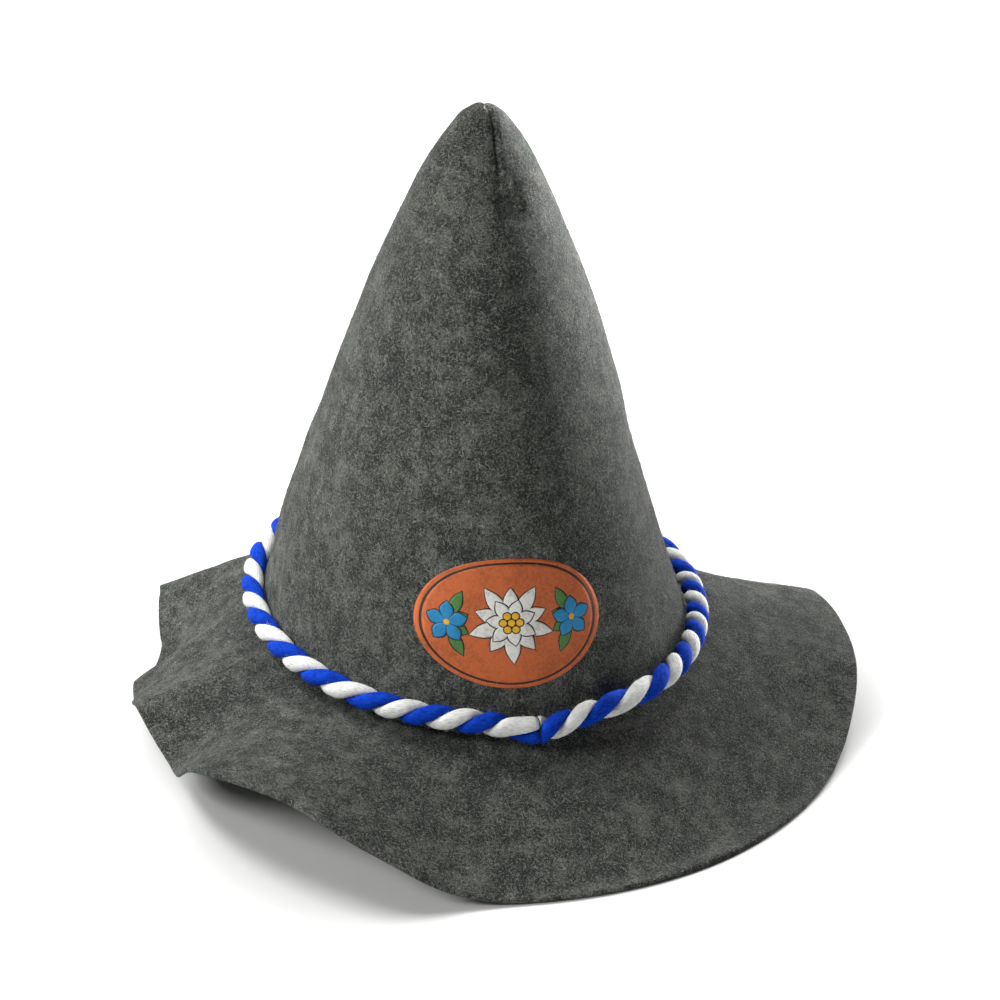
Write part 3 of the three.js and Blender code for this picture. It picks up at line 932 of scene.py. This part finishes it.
class Shader:
    """A new material, with short ways to add the nodes that the materials share."""

    def __init__(self, name, sockets):
        self.material = bpy.data.materials.new(name)
        self.material.use_nodes = True
        self.tree = self.material.node_tree
        self.surface = self.tree.nodes["Principled BSDF"]
        self.feed(self.surface, sockets)

    def feed(self, node, inputs):
        for key, value in inputs.items():
            if isinstance(value, bpy.types.NodeSocket):
                self.tree.links.new(value, node.inputs[key])
            else:
                node.inputs[key].default_value = value

    def node(self, kind, inputs, **settings):
        node = self.tree.nodes.new("ShaderNode" + kind)
        for key, value in settings.items():
            setattr(node, key, value)
        self.feed(node, inputs)
        return node

    def sheet(self):
        """Places on the flat sheet, before it was formed."""
        return self.node("UVMap", {}, uv_map=SHEET_MAP).outputs["UV"]

    def place(self):
        """Places in the hat's own frame."""
        return self.node("TexCoord", {}).outputs["Object"]

    def noise(self, vector, size, detail, output="Fac"):
        inputs = {"Vector": vector, "Scale": 1 / size, "Detail": detail, "Roughness": NOISE_ROUGHNESS}
        return self.node("TexNoise", inputs).outputs[output]

    def math(self, operation, a, b):
        return self.node("Math", {0: a, 1: b}, operation=operation).outputs[0]

    def ramp(self, value, low, high):
        """Smooth step of a value from 0 at low to 1 at high."""
        inputs = {"Value": value, "From Min": low, "From Max": high}
        return self.node("MapRange", inputs, interpolation_type="SMOOTHSTEP").outputs["Result"]

    def streaks(self, vector, degrees, length, width):
        """Long narrow flecks that lie along one heading."""
        inputs = {
            "Vector": vector,
            "Location": (degrees * width, -degrees * length, 0),
            "Rotation": (0, 0, math.radians(degrees)),
            "Scale": (length, width, 1),
        }
        mapped = self.node("Mapping", inputs, vector_type="TEXTURE").outputs["Vector"]
        return self.noise(mapped, 1, 1)

    def strongest(self, values):
        total = values[0]
        for value in values[1:]:
            total = self.math("MAXIMUM", total, value)
        return total

    def blend(self, factor, dark, light):
        mix = self.node("Mix", {0: factor, 6: dark, 7: light}, data_type="RGBA")
        return mix.outputs[2]

    def bend(self, vector, size, reach):
        """Places moved about a little, so that straight flecks curve."""
        swirl = self.noise(vector, size, 1, "Color")
        centred = self.node("VectorMath", {0: swirl, 1: (0.5, 0.5, 0.5)}, operation="SUBTRACT").outputs[0]
        moved = self.node("VectorMath", {0: centred, "Scale": reach}, operation="SCALE").outputs[0]
        return self.node("VectorMath", {0: vector, 1: moved}, operation="ADD").outputs[0]

    def finish(self, colour, height, distance):
        bump = self.node("Bump", {"Height": height, "Distance": distance, "Strength": 1.0})
        self.feed(self.surface, {"Base Color": colour, "Normal": bump.outputs["Normal"]})
        return self.material


def dulled(colour, share):
    return tuple(share * part for part in colour[:3]) + (1,)


def felt_material(name):
    """Mottled pressed felt: clouds, flecks and grain, with pale and dark fibres lying every way."""
    shader = Shader(name, {
        "Roughness": 0.95,
        "Diffuse Roughness": 1.0,
        "Specular IOR Level": 0.15,
        "Sheen Weight": 0.08,
        "Sheen Roughness": 0.35,
        "Sheen Tint": (0.90, 0.92, 0.88, 1),
    })
    place = shader.place()
    tone = FELT_TONE
    for layer in FELT_LAYERS:
        grain = shader.math("SUBTRACT", shader.noise(place, layer.size, layer.detail), 0.5)
        tone = shader.math("ADD", tone, shader.math("MULTIPLY", grain, layer.share))
    bent = shader.bend(shader.sheet(), STREAK_BEND_SIZE, STREAK_BEND)
    for streak in FELT_STREAKS:
        lines = [shader.streaks(bent, turn, streak.length, streak.width) for turn in streak.headings]
        seen = shader.ramp(shader.strongest(lines), streak.start, streak.full)
        tone = shader.math("ADD", tone, shader.math("MULTIPLY", seen, streak.share))
    tint = shader.ramp(shader.noise(place, FELT_TINT_SIZE, 2), *FELT_TINT_RANGE)
    light = shader.blend(tint, FELT_WARM, FELT_COOL)
    return shader.finish(shader.blend(tone, FELT_DARK, light), tone, FELT_RELIEF)


def yarn_material(name, dark, light):
    """Soft spun yarn: fine hairs along it and slow changes of tone."""
    shader = Shader(name, {
        "Roughness": 0.90,
        "Specular IOR Level": 0.12,
        "Sheen Weight": 0.30,
        "Sheen Roughness": 0.50,
        "Sheen Tint": light,
    })
    hairs = shader.streaks(shader.sheet(), YARN_HEADING, YARN_HAIR_LENGTH, YARN_HAIR_WIDTH)
    slow = shader.noise(shader.place(), YARN_SLOW_SIZE, 2)
    both = shader.math("ADD", hairs, shader.math("MULTIPLY", slow, YARN_SLOW_SHARE))
    tone = shader.ramp(both, *YARN_TONE_RANGE)
    return shader.finish(shader.blend(tone, dark, light), hairs, YARN_RELIEF)


def fibre_material(name, colour):
    """Loose hairs, each shaded a little differently by its place."""
    shader = Shader(name, {"Roughness": 0.7, "Specular IOR Level": 0.3})
    fleck = shader.noise(shader.place(), HAIR_FLECK_SIZE, 1)
    tone = shader.ramp(fleck, *HAIR_TONE_RANGE)
    return shader.finish(shader.blend(tone, dulled(colour, HAIR_DULLEST), colour), fleck, HAIR_RELIEF)


def ink_material(name, colour):
    """Printed film that shows the felt's grain through it."""
    shader = Shader(name, {"Roughness": 0.62, "Specular IOR Level": 0.35})
    grain = shader.noise(shader.place(), INK_GRAIN_SIZE, 2)
    slow = shader.noise(shader.place(), INK_SLOW_SIZE, 2)
    tone = shader.ramp(shader.math("ADD", grain, slow), *INK_TONE_RANGE)
    return shader.finish(shader.blend(tone, dulled(colour, INK_DULLEST), colour), grain, INK_RELIEF)


def floor_material(name):
    """Plain pale floor with a faint change of tone."""
    shader = Shader(name, {"Roughness": 0.9, "Specular IOR Level": 0.1})
    slow = shader.noise(shader.place(), FLOOR_SLOW_SIZE, 2)
    dull = dulled(FLOOR_COLOUR, FLOOR_DULLEST)
    return shader.finish(shader.blend(slow, dull, FLOOR_COLOUR), slow, 0.0)


# Stage, lights and camera

def make_floor():
    corners = ((-1, -1), (1, -1), (1, 1), (-1, 1))
    vertices = np.array([(FLOOR_HALF * x, FLOOR_HALF * y, -FLOOR_GAP) for x, y in corners])
    floor = add_mesh("floor", vertices, [[0, 1, 2, 3]], vertices[:, :2])
    floor.data.materials.append(floor_material("floor_pale"))


def area_light(lamp):
    data = bpy.data.lights.new(lamp.name, "AREA")
    data.shape = "RECTANGLE"
    data.size, data.size_y = lamp.size
    data.energy = lamp.power
    data.spread = math.radians(lamp.spread)
    light = bpy.data.objects.new(lamp.name, data)
    light.location = lamp.place
    light.rotation_euler = (Vector(lamp.place) - Vector(lamp.aim)).to_track_quat("Z", "Y").to_euler()
    bpy.context.scene.collection.objects.link(light)


def make_world():
    world = bpy.data.worlds.new("studio")
    world.use_nodes = True
    background = world.node_tree.nodes["Background"]
    background.inputs["Color"].default_value = WORLD_COLOUR
    background.inputs["Strength"].default_value = WORLD_STRENGTH
    bpy.context.scene.world = world
    bpy.context.scene.view_settings.view_transform = "Standard"


def make_camera():
    turn, rise = CAMERA_TURN, CAMERA_RISE
    back = Vector((math.sin(turn) * math.cos(rise), -math.cos(turn) * math.cos(rise), math.sin(rise)))
    level = Vector((math.cos(turn), math.sin(turn), 0))
    upright = back.cross(level)
    right = level * math.cos(CAMERA_ROLL) + upright * math.sin(CAMERA_ROLL)
    up = upright * math.cos(CAMERA_ROLL) - level * math.sin(CAMERA_ROLL)
    data = bpy.data.cameras.new("camera")
    data.lens = LENS_MM
    data.sensor_width = SENSOR_MM
    camera = bpy.data.objects.new("camera", data)
    place = back * CAMERA_DISTANCE + right * AIM_ACROSS + up * AIM_UP
    stance = Matrix.Translation(Vector(hat_axis)) @ Matrix.Rotation(LEAN, 4, "X")
    pose = Matrix((right, up, back)).transposed().to_4x4()
    camera.matrix_world = stance @ Matrix.Translation(place) @ pose
    bpy.context.scene.collection.objects.link(camera)
    bpy.context.scene.camera = camera


def place_piece(piece, materials, node=None):
    """Gives a piece its materials, rides it on the hat, and hides the CAD part it stands for, if one is
    named.
    """
    for material in materials:
        piece.data.materials.append(material)
    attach(piece, "root")
    if node:
        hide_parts(node)


make_floor()
make_world()
make_camera()
for lamp in LAMPS:
    area_light(lamp)

felt = felt_material("felt_grey")
felt_hairs = [
    fibre_material("hair_pale", FIBRE_LIGHT),
    fibre_material("hair_deep", FIBRE_DARK),
    fibre_material("hair_white", FIBRE_WHITE),
]

crown, crown_grid = make_crown()
place_piece(crown, [felt], "crown")
crown_fibres = make_fibres("crown_loose_fibres", crown_grid, CROWN_FIBRES, CROWN_FIBRE_SEED)
place_piece(crown_fibres, felt_hairs)

brim, brim_grid = make_brim()
place_piece(brim, [felt], "brim")
brim_fibres = make_fibres("brim_loose_fibres", brim_grid, BRIM_FIBRES, BRIM_FIBRE_SEED)
place_piece(brim_fibres, felt_hairs)

for colour, phase, dark, light in STRANDS:
    strand, strand_grid = make_strand(f"cord_{colour}_strand", phase)
    place_piece(strand, [yarn_material(f"yarn_{colour}", dark, light)], f"cord_strand_{colour}")
    fuzz = make_fibres(f"cord_{colour}_fuzz", strand_grid, CORD_FIBRES, CORD_FIBRE_SEED)
    place_piece(fuzz, [fibre_material(f"fuzz_{colour}", light)])

tie = make_tie()
place_piece(tie, [yarn_material("thread_dark", THREAD_DARK, THREAD_LIGHT)], "cord_tie")

badge = make_badge()
inks = [ink_material(f"ink_{ink}", colour) for ink, colour in INKS.items()]
place_piece(badge, inks, "front_badge")
